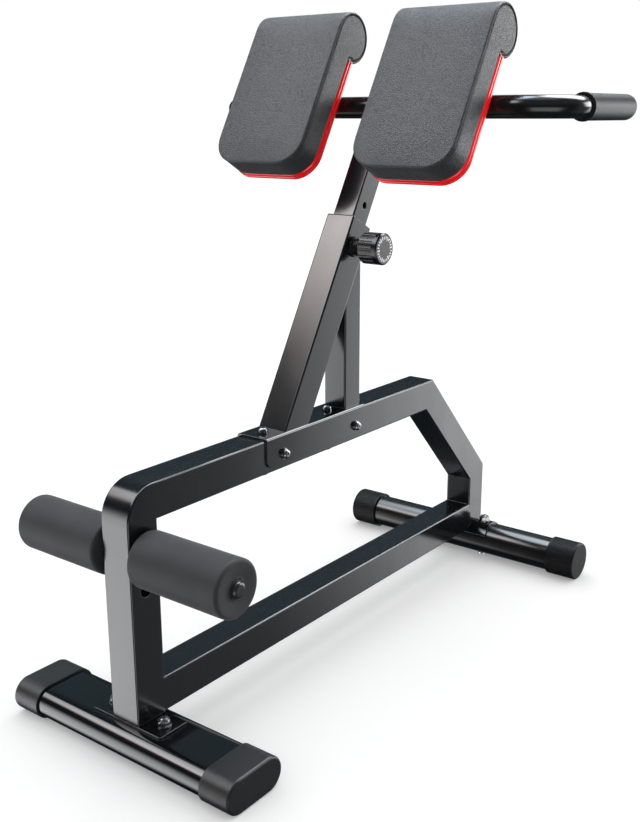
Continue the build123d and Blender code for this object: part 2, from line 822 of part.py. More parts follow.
def roller_core(side):
    """Plastic tube that turns on the axle and carries the foam."""
    end = axle_half - 0.3
    core = axle_rod(core_radius, core_inner_y, end) - axle_rod(axle_radius + running_gap, core_inner_y, end)
    if side < 0:
        return mirror(core, Plane.XZ)
    return core


def roller_foam(side):
    """Foam sleeve with rounded rims."""
    foam = axle_rod(roller_radius, roller_inner_y, roller_outer_y)
    foam = fillet(foam.edges(), roller_round)
    foam -= axle_rod(core_radius, roller_inner_y, roller_outer_y)
    if side < 0:
        return mirror(foam, Plane.XZ)
    return foam


# ---------------------------------------------------------------- export

near_side = -1
far_side = 1

save(main_frame(), "main_frame")
save(rear_base_plate(), "rear_base_plate")
save(front_base_plate(), "front_base_plate")
save(rear_foot_tube(), "rear_foot_tube")
save(rear_foot_cap(near_side), "rear_foot_cap_near")
save(rear_foot_cap(far_side), "rear_foot_cap_far")
save(front_foot_tube(), "front_foot_tube")
save(front_foot_cap(near_side), "front_foot_cap_near")
save(front_foot_cap(far_side), "front_foot_cap_far")
save(foot_bolts(rear_foot_x, frame_bottom), "rear_foot_bolts")
save(foot_bolts(front_foot_x, front_axis_z + front_plate_radius), "front_foot_bolts")
save(group(base * washer(m10) for base in foot_stack_bases()), "foot_washers")
save(group(base * Pos(0, 0, washer_thickness) * hex_nut(m10) for base in foot_stack_bases()), "foot_nuts")

save(saddle_bracket(), "saddle_bracket")
save(outer_post(), "outer_post")
save(post_brace(), "post_brace")
save(stack_bolts(side_stacks(), tube + 2 * plate), "saddle_side_bolts")
save(stack_bolts(top_stacks(), tube + plate), "saddle_top_bolts")
save(saddle_washers(), "saddle_washers")
save(saddle_nuts(), "saddle_nuts")
save(post_sleeve(), "post_sleeve")

save(inner_post(), "inner_post")
save(post_glide(), "post_glide")
save(post_cap(), "post_cap")
save(handle_bar(), "handle_bar")
save(handle_grip(near_side), "handle_grip_near")
save(handle_grip(far_side), "handle_grip_far")

save(pad_plate(near_side), "pad_plate_near")
save(pad_plate(far_side), "pad_plate_far")
save(pad_shell(near_side), "pad_shell_near")
save(pad_shell(far_side), "pad_shell_far")
save(pad_board(near_side), "pad_board_near")
save(pad_board(far_side), "pad_board_far")
save(both_pads(tee_nut), "pad_tee_nuts")
save(both_pads(pad_bolt), "pad_bolts")
save(pad_cushion(near_side), "pad_cushion_near")
save(pad_cushion(far_side), "pad_cushion_far")

save(pin_barrel(), "pin_barrel")
save(pin_bush(), "pin_bush")
save(pin_spring(), "pin_spring")
save(pin_rod(), "pin_rod")
save(rod_clip(), "rod_clip")
save(pin_knob(), "pin_knob")
save(knob_cap(), "knob_cap")

save(roller_axle(), "roller_axle")
save(on_both_sides(axle_plug()), "axle_plugs")
save(roller_core(near_side), "roller_core_near")
save(roller_core(far_side), "roller_core_far")
save(roller_foam(near_side), "roller_foam_near")
save(roller_foam(far_side), "roller_foam_far")
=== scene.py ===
import json
import math

import bmesh
import bpy
from mathutils import Matrix, Vector


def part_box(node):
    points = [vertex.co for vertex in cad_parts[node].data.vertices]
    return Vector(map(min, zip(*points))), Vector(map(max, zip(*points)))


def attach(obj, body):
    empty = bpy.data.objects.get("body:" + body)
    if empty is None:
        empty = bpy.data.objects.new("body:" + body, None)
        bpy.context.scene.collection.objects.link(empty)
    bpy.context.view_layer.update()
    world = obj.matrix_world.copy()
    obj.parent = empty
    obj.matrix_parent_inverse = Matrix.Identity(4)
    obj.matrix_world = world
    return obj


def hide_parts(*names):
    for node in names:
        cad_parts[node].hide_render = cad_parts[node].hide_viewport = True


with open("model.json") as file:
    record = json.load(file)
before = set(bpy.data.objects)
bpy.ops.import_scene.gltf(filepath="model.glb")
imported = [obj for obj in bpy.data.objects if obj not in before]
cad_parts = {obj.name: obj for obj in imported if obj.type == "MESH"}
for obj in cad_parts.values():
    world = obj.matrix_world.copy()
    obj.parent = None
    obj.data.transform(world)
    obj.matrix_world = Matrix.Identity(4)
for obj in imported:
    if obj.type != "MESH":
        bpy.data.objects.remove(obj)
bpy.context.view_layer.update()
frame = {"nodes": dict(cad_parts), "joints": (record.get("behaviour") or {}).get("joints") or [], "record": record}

# Roman chair, in metres. +X runs from the ankle rollers to the thigh pads, and the near side is -Y.

mm = 0.001
joints = {joint["name"]: joint for joint in frame["joints"]}

# ---------------------------------------------------------------- places taken from the frame

near = Vector((0, -1, 0))
along = Vector(joints["post_slide"]["axis"]).normalized()   # up the slanted post
outward = Vector((-along.z, 0, along.x))                    # from the post towards the pads' faces


def extent(node, axis):
    """Least and greatest reach of a CAD node along a direction."""
    reach = [vertex.co.dot(axis) for vertex in frame["nodes"][node].data.vertices]
    return min(reach), max(reach)


def slope_point(o, y, a):
    """Point given by its reach outwards, its Y and its reach up the slope."""
    return outward * o + along * a + Vector((0, y, 0))


# ---------------------------------------------------------------- node helpers

def add_node(tree, kind, inputs=None, **settings):
    """A shader node with its settings and inputs; an input is a value or another node's socket."""
    made = tree.nodes.new("ShaderNode" + kind)
    for name, value in settings.items():
        setattr(made, name, value)
    for key, value in (inputs or {}).items():
        if isinstance(value, bpy.types.NodeSocket):
            tree.links.new(value, made.inputs[key])
        else:
            made.inputs[key].default_value = value
    return made


def maths(tree, operation, a, b=0.0):
    """Result of a Math node."""
    return add_node(tree, "Math", {0: a, 1: b}, operation=operation).outputs[0]


def remap(tree, value, from_low, from_high, to_low, to_high, smooth=False):
    """Takes one range of values to another, held at both ends."""
    inputs = {
        "Value": value,
        "From Min": from_low,
        "From Max": from_high,
        "To Min": to_low,
        "To Max": to_high,
    }
    kind = "SMOOTHSTEP" if smooth else "LINEAR"
    return add_node(tree, "MapRange", inputs, interpolation_type=kind).outputs["Result"]


def mix_colour(tree, share, a, b):
    """Colour that is a at share 0 and b at share 1."""
    made = add_node(tree, "Mix", {0: share}, data_type="RGBA")
    for index, value in ((6, a), (7, b)):
        if isinstance(value, bpy.types.NodeSocket):
            tree.links.new(value, made.inputs[index])
        else:
            made.inputs[index].default_value = (*value, 1)
    return made.outputs[2]


def shades(tree, share, colour, low, high):
    """Colour that goes from low to high times its brightness."""
    return mix_colour(tree, share, tuple(low * c for c in colour), tuple(high * c for c in colour))


def place(tree, scale=(1, 1, 1)):
    """Object coordinates, in metres, stretched by scale."""
    coordinates = add_node(tree, "TexCoord").outputs["Object"]
    return add_node(tree, "Mapping", {"Vector": coordinates, "Scale": scale}).outputs["Vector"]


def noise(tree, size, detail=3.0, scale=(1, 1, 1), rough=0.5):
    """Noise whose features are about size metres across."""
    inputs = {"Vector": place(tree, scale), "Scale": 1 / size, "Detail": detail, "Roughness": rough}
    return add_node(tree, "TexNoise", inputs).outputs[0]


def cells(tree, size, feature="F1", vector=None):
    """Voronoi cells about size metres across."""
    inputs = {"Vector": place(tree) if vector is None else vector, "Scale": 1 / size}
    return add_node(tree, "TexVoronoi", inputs, feature=feature).outputs["Distance"]


def bump(tree, height, distance, strength=1.0, normal=None):
    """Normal of a surface raised by height times distance."""
    inputs = {"Height": height, "Distance": distance, "Strength": strength}
    if normal is not None:
        inputs["Normal"] = normal
    return add_node(tree, "Bump", inputs).outputs["Normal"]


def rounded_normal(tree, radius):
    """Normal of a surface whose edges are rounded off."""
    return add_node(tree, "Bevel", {"Radius": radius}, samples=4).outputs["Normal"]


def edge_mask(tree, radius):
    """1 where a surface turns within radius metres, 0 on flat ground."""
    true_normal = add_node(tree, "NewGeometry").outputs["True Normal"]
    normals = {0: rounded_normal(tree, radius), 1: true_normal}
    agree = add_node(tree, "VectorMath", normals, operation="DOT_PRODUCT").outputs["Value"]
    return remap(tree, agree, 0.995, 0.86, 0.0, 1.0)


def new_material(name):
    """An empty node material with its Principled shader."""
    material = bpy.data.materials.new(name)
    material.use_nodes = True
    tree = material.node_tree
    return material, tree, tree.nodes["Principled BSDF"]


def feed(tree, shader, **values):
    """Sets the Principled shader's inputs from values or sockets; underscores stand for spaces."""
    for name, value in values.items():
        socket = shader.inputs[name.replace("_", " ")]
        if isinstance(value, bpy.types.NodeSocket):
            tree.links.new(value, socket)
        elif isinstance(value, tuple):
            socket.default_value = (*value, 1)
        else:
            socket.default_value = value


# ---------------------------------------------------------------- materials

def coated_steel(name, colour, roughness, peel, peel_depth, line=0.7, width=1.6 * mm):
    """Powder-coated steel: faint orange peel, a cloudy gloss and a thin painted highlight, a paler line broken up
    by noise, along sharp edges.
    """
    material, tree, shader = new_material(name)
    # painted highlight: the colour turns pale grey in a thin line along sharp edges, broken up by noise; line sets
    # how pale it gets and width is the radius of the edge mask
    lighter_places = maths(tree, "MULTIPLY", edge_mask(tree, width), noise(tree, 14 * mm, 4))
    shade = shades(tree, noise(tree, 60 * mm, 2), colour, 0.8, 1.2)
    base = mix_colour(tree, remap(tree, lighter_places, 0.2, 0.65, 0.0, line), shade, (0.42, 0.42, 0.44))
    smear = noise(tree, 45 * mm, 5, (1, 1, 0.5))
    gloss = remap(tree, smear, 0.3, 0.7, roughness - 0.02, roughness + 0.03)
    skin = bump(tree, noise(tree, peel, 1), peel_depth, 0.5, rounded_normal(tree, 0.5 * mm))
    feed(tree, shader, Base_Color=base, Roughness=gloss, Normal=skin, Specular_IOR_Level=0.5)
    return material


def moulded_plastic(name, colour, roughness, grain, depth, coat=0.0, shine=0.5):
    """Moulded plastic with a fine spark-eroded grain."""
    material, tree, shader = new_material(name)
    base = shades(tree, noise(tree, 30 * mm, 3), colour, 0.85, 1.2)
    spark = noise(tree, grain, 4, rough=0.65)
    skin = bump(tree, spark, depth, 0.7, rounded_normal(tree, 0.4 * mm))
    gloss = remap(tree, noise(tree, 6 * mm, 4), 0.3, 0.7, roughness - 0.04, roughness + 0.06)
    feed(tree, shader, Base_Color=base, Roughness=gloss, Normal=skin, Specular_IOR_Level=shine)
    feed(tree, shader, Coat_Weight=coat, Coat_Roughness=0.08)
    return material


def plated_steel(name, colour, roughness):
    """Plated steel with fine turning marks and darker patches."""
    material, tree, shader = new_material(name)
    marks = noise(tree, 0.5 * mm, 3, (1, 1, 0.15))
    base = shades(tree, noise(tree, 5 * mm, 4), colour, 0.7, 1.15)
    gloss = remap(tree, marks, 0.3, 0.7, roughness - 0.07, roughness + 0.1)
    skin = bump(tree, marks, 0.03 * mm, 0.5, rounded_normal(tree, 0.4 * mm))
    feed(tree, shader, Base_Color=base, Roughness=gloss, Metallic=1.0, Normal=skin)
    return material


def leatherette():
    """Pad cover: fine pebbled grain with creases between the pebbles, painted shade darkening the creases, and a
    soft satin sheen.
    """
    material, tree, shader = new_material("pad_cover")
    spot = place(tree)
    swirl = add_node(tree, "TexNoise", {"Vector": spot, "Scale": 260.0, "Detail": 2.0}).outputs["Color"]
    shift = add_node(tree, "VectorMath", {0: swirl, 3: 1.1 * mm}, operation="SCALE").outputs["Vector"]
    warped = add_node(tree, "VectorMath", {0: spot, 1: shift}, operation="ADD").outputs["Vector"]
    crease = cells(tree, 2.8 * mm, "DISTANCE_TO_EDGE", warped)
    pebble = remap(tree, crease, 0.0, 0.26, 0.0, 1.0, True)
    fine = noise(tree, 1.6 * mm, 3)
    height = maths(tree, "MULTIPLY_ADD", fine, 0.35)
    tree.links.new(pebble, height.node.inputs[2])
    cloud = remap(tree, noise(tree, 18 * mm, 5), 0.3, 0.7, 0.0, 1.0)
    shade = mix_colour(tree, cloud, (0.0125, 0.0133, 0.0162), (0.0217, 0.0225, 0.0264))
    # painted shade: the colour darkens in the creases between the pebbles
    base = mix_colour(tree, remap(tree, pebble, 0.0, 1.0, 0.7, 0.0), shade, (0.004, 0.004, 0.005))
    gloss = remap(tree, pebble, 0.0, 1.0, 0.62, 0.40)
    skin = bump(tree, height, 0.25 * mm, 0.78)
    feed(tree, shader, Base_Color=base, Roughness=gloss, Normal=skin, Specular_IOR_Level=0.56)
    feed(tree, shader, Sheen_Weight=0.08, Sheen_Roughness=0.5)
    return material


def closed_cell_foam():
    """Roller foam: a skin of fine cells, matte, slightly paler in patches that hands have worn."""
    material, tree, shader = new_material("foam")
    pores = cells(tree, 0.7 * mm)
    lumps = noise(tree, 2.5 * mm, 4)
    height = maths(tree, "ADD", pores, lumps)
    lighter_places = remap(tree, noise(tree, 40 * mm, 3), 0.3, 0.7, 0.0, 1.0)
    base = mix_colour(tree, lighter_places, (0.013, 0.013, 0.014), (0.020, 0.020, 0.022))
    skin = bump(tree, height, 0.12 * mm, 0.55)
    feed(tree, shader, Base_Color=base, Roughness=0.62, Normal=skin, Specular_IOR_Level=0.28)
    feed(tree, shader, Sheen_Weight=0.16, Sheen_Roughness=0.45)
    return material


def grip_rubber():
    """Matte rubber with a fine stipple."""
    material, tree, shader = new_material("grip_rubber")
    stipple = cells(tree, 0.8 * mm, "SMOOTH_F1")
    base = mix_colour(tree, noise(tree, 20 * mm, 3), (0.008, 0.008, 0.0085), (0.014, 0.014, 0.015))
    skin = bump(tree, stipple, 0.08 * mm, 0.5)
    feed(tree, shader, Base_Color=base, Roughness=0.42, Normal=skin, Specular_IOR_Level=0.17)
    return material


def plywood():
    """Board with thin veneers and long grain."""
    material, tree, shader = new_material("plywood")
    grain = noise(tree, 12 * mm, 6, (1, 8, 1))
    base = mix_colour(tree, grain, (0.42, 0.28, 0.15), (0.66, 0.49, 0.31))
    skin = bump(tree, grain, 0.3 * mm, 0.4)
    feed(tree, shader, Base_Color=base, Roughness=0.75, Normal=skin)
    return material


def welt_cord():
    """Woven cord, darker than the cover; the darkness is painted shade for the sewn channel."""
    material, tree, shader = new_material("welt_cord")
    weave = noise(tree, 0.9 * mm, 2, (1, 1, 3))
    # painted shade: the cord is darkened to stand for the shade in the channel
    base = mix_colour(tree, weave, (0.006, 0.006, 0.007), (0.016, 0.016, 0.018))
    feed(tree, shader, Base_Color=base, Roughness=0.7, Normal=bump(tree, weave, 0.1 * mm, 0.5))
    return material


def white_print():
    """Slightly patchy pad print."""
    material, tree, shader = new_material("white_print")
    patch = noise(tree, 0.8 * mm, 4)
    worn = remap(tree, patch, 0.35, 0.6, 0.0, 1.0)
    base = mix_colour(tree, worn, (0.70, 0.70, 0.70), (0.88, 0.88, 0.88))
    feed(tree, shader, Base_Color=base, Roughness=0.5)
    return material


def build_materials():
    """One material for each slot of the record, and the finishes of a few single pieces."""
    return {
        "frame_black": coated_steel("frame_black", (0.0050, 0.0055, 0.0065), 0.16, 1.8 * mm, 0.0012 * mm),
        "gloss_black": coated_steel("gloss_black", (0.004, 0.004, 0.005), 0.11, 2.4 * mm, 0.001 * mm),
        "satin_black": coated_steel("satin_black", (0.0065, 0.006, 0.006), 0.18, 2.4 * mm, 0.001 * mm),
        # the base plates and the saddle bracket take the full painted edge highlight
        "plate_black": coated_steel(
            "plate_black", (0.003, 0.003, 0.0035), 0.12, 2.0 * mm, 0.001 * mm, line=1.0, width=1.0 * mm
        ),
        "cap_plastic": moulded_plastic(
            "cap_plastic", (0.009, 0.009, 0.0095), 0.40, 0.6 * mm, 0.03 * mm, shine=0.32
        ),
        # painted shade: a darker, less shiny copy of cap_plastic for the front foot caps
        "dull_shaded_plastic": moulded_plastic(
            "dull_shaded_plastic", (0.007, 0.007, 0.0075), 0.36, 0.6 * mm, 0.03 * mm, shine=0.11
        ),
        "guide_plastic": moulded_plastic("guide_plastic", (0.016, 0.016, 0.017), 0.45, 0.6 * mm, 0.04 * mm),
        "plug_plastic": moulded_plastic("plug_plastic", (0.014, 0.014, 0.015), 0.22, 0.8 * mm, 0.02 * mm),
        "knob_plastic": moulded_plastic(
            "knob_plastic", (0.004, 0.004, 0.0045), 0.24, 0.6 * mm, 0.02 * mm, shine=0.4
        ),
        "red_plastic": moulded_plastic(
            "red_plastic", (0.80, 0.003, 0.004), 0.18, 2.0 * mm, 0.002 * mm, coat=0.3
        ),
        "black_steel": plated_steel("black_steel", (0.27, 0.27, 0.28), 0.20),
        "zinc_steel": plated_steel("zinc_steel", (0.34, 0.34, 0.35), 0.22),
        "bright_steel": plated_steel("bright_steel", (0.55, 0.55, 0.56), 0.28),
        "grip_rubber": grip_rubber(),
        "plywood": plywood(),
        "pad_cover": leatherette(),
        "foam": closed_cell_foam(),
        "white_print": white_print(),
        "welt_cord": welt_cord(),
    }


materials = build_materials()
own_finish = {
    "plate_black": ("rear_base_plate", "front_base_plate", "saddle_bracket"),
    "zinc_steel": ("rear_foot_bolts", "front_foot_bolts", "foot_nuts"),
    "satin_black": ("front_foot_tube", "handle_bar"),
    # the front caps take the darker copy of the cap plastic, painted shade
    "dull_shaded_plastic": ("front_foot_cap_near", "front_foot_cap_far"),
    "cap_plastic": ("pin_barrel",),
}
finish_of = {part["node"]: part["material_slot"] for part in frame["record"]["subparts"]}
for finish, nodes in own_finish.items():
    finish_of.update(dict.fromkeys(nodes, finish))
for name, node in frame["nodes"].items():
    node.data.materials.clear()
    node.data.materials.append(materials[finish_of[name]])


# ---------------------------------------------------------------- mesh helpers

def finish_piece(name, builder, body, slot, replaced=(), levels=0, material=None):
    """Turns a bmesh into a named, smooth shaded piece that rides on a body. Its material is the slot's
    unless another is given."""
    bmesh.ops.remove_doubles(builder, verts=builder.verts, dist=0.01 * mm)
    bmesh.ops.recalc_face_normals(builder, faces=builder.faces)
    mesh = bpy.data.meshes.new(name)
    builder.to_mesh(mesh)
    builder.free()
    mesh.polygons.foreach_set("use_smooth", [True] * len(mesh.polygons))
    mesh.materials.append(materials[material or slot])
    piece = bpy.data.objects.new(name, mesh)
    bpy.context.scene.collection.objects.link(piece)
    if levels:
        subdivide(piece, levels)
    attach(piece, body)
    if replaced:
        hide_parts(*replaced)
    return piece


def subdivide(piece, levels):
    """Adds a subdivision surface."""
    smoother = piece.modifiers.new("smooth", "SUBSURF")
    smoother.levels = levels
    smoother.render_levels = levels


def loft(builder, rings, closed=True):
    """Skins a list of rings of points with quads; closed rings join their last point to their first."""
    rows = [[builder.verts.new(point) for point in ring] for ring in rings]
    for low, high in zip(rows, rows[1:]):
        count = len(low)
        for i in range(count if closed else count - 1):
            j = (i + 1) % count
            builder.faces.new((low[i], low[j], high[j], high[i]))
    return rows


def fan(builder, ring, centre):
    """Closes a ring of vertices onto one point."""
    hub = builder.verts.new(centre)
    for i, vertex in enumerate(ring):
        builder.faces.new((vertex, ring[(i + 1) % len(ring)], hub))


# ---------------------------------------------------------------- thigh pads

pad_corner = 40 * mm            # large lower corners
face_round = 2.8 * mm           # rounding where the face panel turns to the side band
overhang = 0.8 * mm             # how far the padding stands proud of its plain solid
corner_steps = 9                # rows round a lower corner
slab_rows = 17                  # rows up the straight part of the slab
roll_rows = 32                  # rows round the roll
columns = 18                    # faces across a panel
band_inset = 0.5 * mm           # the band lies this much inside the face panel's edge
seam = ((3.0, 0.1), (3.3, 2.6), (5.3, 2.6), (5.7, 0.5))   # depth and inset of the sewn channel, mm
welt_seat = (4.3 * mm, 1.5 * mm)      # depth and inset of the cord sewn into the channel
welt_radius = 0.8 * mm
disc_swell = 1.0 * mm           # the roll's ends swell by this much
tray_notch = 3 * mm             # and are let in by this much round the tray's top


class Pad:
    """Measures of one cushion, from its CAD solid, in the slope frame."""

    def __init__(self, side):
        node = "pad_cushion_" + side
        shell = "pad_shell_" + side
        low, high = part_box(node)
        self.side = side
        self.middle = (low.y + high.y) / 2
        self.half = (high.y - low.y) / 2 + overhang
        roll_back, face = extent(node, outward)
        self.bottom, top = extent(node, along)
        self.face = face + overhang
        self.radius = (self.face - roll_back) / 2
        self.roll_o = self.face - self.radius
        self.roll_a = top - self.radius
        self.tray_back, self.tray_rim = extent(shell, outward)
        self.tray_top = extent(shell, along)[1]
        self.back = self.tray_rim + 0.3 * mm
        drop = math.sqrt(self.radius ** 2 - (self.roll_o - self.back) ** 2)
        self.tuck = self.roll_a - drop      # where the roll comes down to the back plane


def slab_levels(pad):
    """Heights of the rows up the slab: reach up the slope, half width, and the outline's normal there."""
    levels = []
    for step in range(corner_steps + 1):
        turn = math.radians(90 / corner_steps * step)
        a = pad.bottom + pad_corner * (1 - math.cos(turn))
        half = pad.half - pad_corner * (1 - math.sin(turn))
        levels.append((a, half, math.sin(turn), -math.cos(turn)))
    start = pad.bottom + pad_corner
    for step in range(1, slab_rows + 1):
        levels.append((start + (pad.tuck - start) * step / slab_rows, pad.half, 1.0, 0.0))
    return levels


def wrap_rows(pad):
    """Rows up the face and over the roll, rows down the back, and how many of them lie on the slab.
    Each row is its place (o, a), its inward direction, its half width and its outline normal."""
    levels = slab_levels(pad)
    rows = [(pad.face, a, -1.0, 0.0, half, nu, na) for a, half, nu, na in levels]
    for step in range(1, 5):
        a = pad.tuck + (pad.roll_a - pad.tuck) * step / 4
        rows.append((pad.face, a, -1.0, 0.0, pad.half, 1.0, 0.0))
    end = math.pi + math.acos((pad.roll_o - pad.back) / pad.radius)
    for step in range(1, roll_rows + 1):
        turn = end * step / roll_rows
        c = math.cos(turn)
        s = math.sin(turn)
        o = pad.roll_o + pad.radius * c
        a = pad.roll_a + pad.radius * s
        rows.append((o, a, -c, -s, pad.half, 1.0, 0.0))
    back = [(pad.back, a, 1.0, 0.0, half, nu, na) for a, half, nu, na in reversed(levels)]
    return rows, back, len(levels)


def row_point(pad, row, u, depth, inset):
    """Point of a row at u from the pad's middle, sunk by depth and drawn in by inset."""
    o, a, do, da, _, _, na = row
    return slope_point(o + depth * do, pad.middle + u, a + depth * da - inset * na)


def row_end(row, sign, inset):
    """Where a row ends on one side, drawn in by inset."""
    half, nu = row[4:6]
    return sign * (half - inset * nu)


def edge_profile(radius, steps, groove):
    """Depth and inset pairs from a panel's edge round onto the side band."""
    pairs = []
    for step in range(steps + 1):
        turn = math.pi / 2 * step / steps
        pairs.append((radius * (1 - math.cos(turn)), radius * (1 - math.sin(turn))))
    if groove:
        pairs += [(depth * mm, inset * mm) for depth, inset in seam]
    else:
        pairs[-1] = (radius, band_inset)
    return pairs


def inflate(piece, held, pressure, limit):
    """Cloth simulation that swells a closed cover. Held vertices stay, and no point moves beyond limit."""
    mesh = piece.data
    pins = piece.vertex_groups.new(name="held")
    pins.add(held, 1.0, "REPLACE")
    cloth = piece.modifiers.new("cloth", "CLOTH")
    settings = cloth.settings
    settings.quality = 6
    settings.mass = 0.25
    settings.tension_stiffness = 12
    settings.compression_stiffness = 12
    settings.shear_stiffness = 6
    settings.bending_stiffness = 1.0
    settings.vertex_group_mass = "held"
    settings.use_pressure = True
    settings.uniform_pressure_force = pressure
    settings.effector_weights.gravity = 0
    scene = bpy.context.scene
    last_frame = 20
    for step in range(1, last_frame + 1):
        scene.frame_set(step)
    swollen = piece.evaluated_get(bpy.context.evaluated_depsgraph_get()).data
    moved = [vertex.co.copy() for vertex in swollen.vertices]
    piece.modifiers.remove(cloth)
    piece.vertex_groups.remove(pins)
    for vertex, target in zip(mesh.vertices, moved):
        shift = target - vertex.co
        if shift.length > limit:
            shift *= limit / shift.length
        vertex.co += shift
    scene.frame_set(1)


def cushion(pad):
    """The padded body of one thigh pad: a face panel that curls back in a roll, with sewn side bands,
    swollen by its filling between the seams."""
    builder = bmesh.new()
    front_rows, back_rows, level_count = wrap_rows(pad)
    front_profile = edge_profile(face_round, 4, True)
    back_profile = edge_profile(2 * mm, 2, False)

    def panel(rows, profile):
        """Grid across a run of rows, the last lines of its two rounded sides, and the grid's vertices."""
        first_inset = profile[0][1]
        grid = []
        for row in rows:
            reach = row_end(row, 1, first_inset)
            us = [reach * (2 * j / columns - 1) for j in range(columns + 1)]
            grid.append([row_point(pad, row, u, 0, first_inset) for u in us])
        vertices = loft(builder, grid, closed=False)
        sides = []
        for sign in (-1, 1):
            rings = []
            for depth, inset in profile:
                rings.append([row_point(pad, row, row_end(row, sign, inset), depth, inset) for row in rows])
            rings[0] = [line[0 if sign < 0 else -1] for line in grid]
            loft(builder, rings, closed=False)
            sides.append(rings[-1])
        return grid, sides, vertices

    front_grid, front_sides, front_vertices = panel(front_rows, front_profile)
    back_grid, back_sides, _ = panel(back_rows, back_profile)
    free = [vertex.co.copy() for row in front_vertices[1:-1] for vertex in row[1:-1]]

    def bottom_edge(grid_row, row, profile):
        """Rounded lower edge of a panel, under its straight bottom."""
        reach = row[4]
        us = [reach * (2 * j / columns - 1) for j in range(columns + 1)]
        rings = [[row_point(pad, row, u, depth, inset) for u in us] for depth, inset in profile]
        rings[0] = grid_row
        loft(builder, rings, closed=False)
        return rings[-1]

    front_low = bottom_edge(front_grid[0], front_rows[0], front_profile)
    back_low = bottom_edge(back_grid[-1], back_rows[-1], back_profile)
    strips = 4

    def between(a, b):
        """Points from a to b, across the side band."""
        return [a.lerp(b, step / strips) for step in range(strips + 1)]

    loft(builder, [between(a, b) for a, b in zip(front_low, back_low)], closed=False)
    for index in (0, 1):
        front_line = front_sides[index][:level_count]
        back_line = list(reversed(back_sides[index]))
        band = [between(a, b) for a, b in zip(front_line, back_line)]
        loft(builder, band, closed=False)
        hub = slope_point(pad.roll_o, front_line[-1].y, pad.roll_a)
        loop = front_sides[index][level_count - 1:] + [back_sides[index][0]] + list(reversed(band[-1][1:-1]))
        outwards = near if hub.y < pad.middle else -near

        def on_disc(p, share):
            """Point of the roll's end: a share of the way from its hub to a point p of its rim."""
            spot = hub.lerp(p, share) + outwards * (disc_swell * (1 - share ** 2))
            across = pad.tray_back - 1.5 * mm < spot.dot(outward) < pad.back + 1 * mm
            beside_tray = across and spot.dot(along) < pad.tray_top + 2 * mm
            return spot - outwards * (tray_notch if beside_tray and share < 1 else 0)

        shares = (1.0, 0.96, 0.9, 0.82, 0.74, 0.6, 0.4, 0.2)
        rings = [[on_disc(p, share) for p in loop] for share in shares]
        rows = loft(builder, rings)
        fan(builder, rows[-1], hub + outwards * disc_swell)

    def key(spot):
        """Place of a point on a fine grid, by which the same point is found again."""
        return tuple(round(c / (0.02 * mm)) for c in spot)

    replaced = ["pad_cushion_" + pad.side]
    piece = finish_piece("cushion_" + pad.side, builder, "carriage", "pad_cover", replaced)
    loose = {key(spot) for spot in free}
    held = [vertex.index for vertex in piece.data.vertices if key(vertex.co) not in loose]
    inflate(piece, held, pressure=4.0, limit=2.5 * mm)
    subdivide(piece, 1)


def tube_along(builder, path, radius, sides=8):
    """Thin closed tube along a run of points."""
    rings = []
    last = len(path) - 1
    up = (path[1] - path[0]).orthogonal().normalized()
    for index, point in enumerate(path):
        run = (path[min(index + 1, last)] - path[max(index - 1, 0)]).normalized()
        up = (up - run * up.dot(run)).normalized()
        side = run.cross(up)
        turns = [2 * math.pi * step / sides for step in range(sides)]
        rings.append([point + radius * (math.cos(t) * up + math.sin(t) * side) for t in turns])
    rows = loft(builder, rings)
    builder.faces.new(list(reversed(rows[0])))
    builder.faces.new(rows[-1])


def welt(pad):
    """Cord sewn in the channel round the face panel: down one side, along the bottom, up the other."""
    front_rows = wrap_rows(pad)[0]
    depth, inset = welt_seat
    left = [row_point(pad, row, row_end(row, -1, inset), depth, inset) for row in reversed(front_rows)]
    right = [row_point(pad, row, row_end(row, 1, inset), depth, inset) for row in front_rows]
    bottom = [left[-1].lerp(right[0], step / 8) for step in range(1, 8)]
    builder = bmesh.new()
    tube_along(builder, left + bottom + right, welt_radius)
    finish_piece("welt_" + pad.side, builder, "carriage", "pad_cover", material="welt_cord")


def tray_outline(pad, inset):
    """Closed outline of the tray, drawn in by inset: large lower corners, small upper ones."""
    corner_top = 3 * mm
    least_bend = 0.2 * mm
    steps = 12
    low = pad.bottom + pad_corner
    high = pad.tray_top - corner_top
    corners = (
        (1, low, pad_corner, -90),
        (1, high, corner_top, 0),
        (-1, high, corner_top, 90),
        (-1, low, pad_corner, 180),
    )
    points = []
    for sign, a, radius, start in corners:
        bend = max(radius - inset, least_bend)
        u = sign * (pad.half - inset - bend)
        for step in range(steps + 1):
            turn = math.radians(start + 90 * step / steps)
            points.append((u + bend * math.cos(turn), a + bend * math.sin(turn)))
    return points


def tray(pad):
    """Red moulded tray behind the cushion, with rounded rims and a groove round its wall."""
    drawn_height = 13.0         # the rim's height in the profiles below, which are pairs of inset and height
    back_edge = [(12.0, 0.0), (2.6, 0.0), (1.2, 0.25), (0.3, 0.9), (0.0, 1.9)]
    groove = [(0.0, 5.2), (0.3, 5.7), (2.4, 5.9), (2.6, 6.4), (2.6, 7.2), (2.4, 7.7), (0.4, 7.9)]
    rim = [(0.1, 8.4), (0.3, 9.6), (0.8, 10.9), (1.5, 12.1), (2.2, 12.8), (2.7, 12.8), (3.0, 12.2)]
    inside = [(3.0, 4.0), (12.0, 3.4)]
    depth = pad.tray_rim - pad.tray_back
    builder = bmesh.new()
    rings = []
    for inset, height in back_edge + groove + rim + inside:
        o = pad.tray_back + depth * height / drawn_height
        rings.append([slope_point(o, pad.middle + u, a) for u, a in tray_outline(pad, inset * mm)])
    rows = loft(builder, rings)
    builder.faces.new(rows[0])
    builder.faces.new(rows[-1])
    finish_piece("tray_" + pad.side, builder, "carriage", "red_plastic", ["pad_shell_" + pad.side])


for side in ("near", "far"):
    pad = Pad(side)
    cushion(pad)
    welt(pad)
    tray(pad)


# ---------------------------------------------------------------- ankle rollers

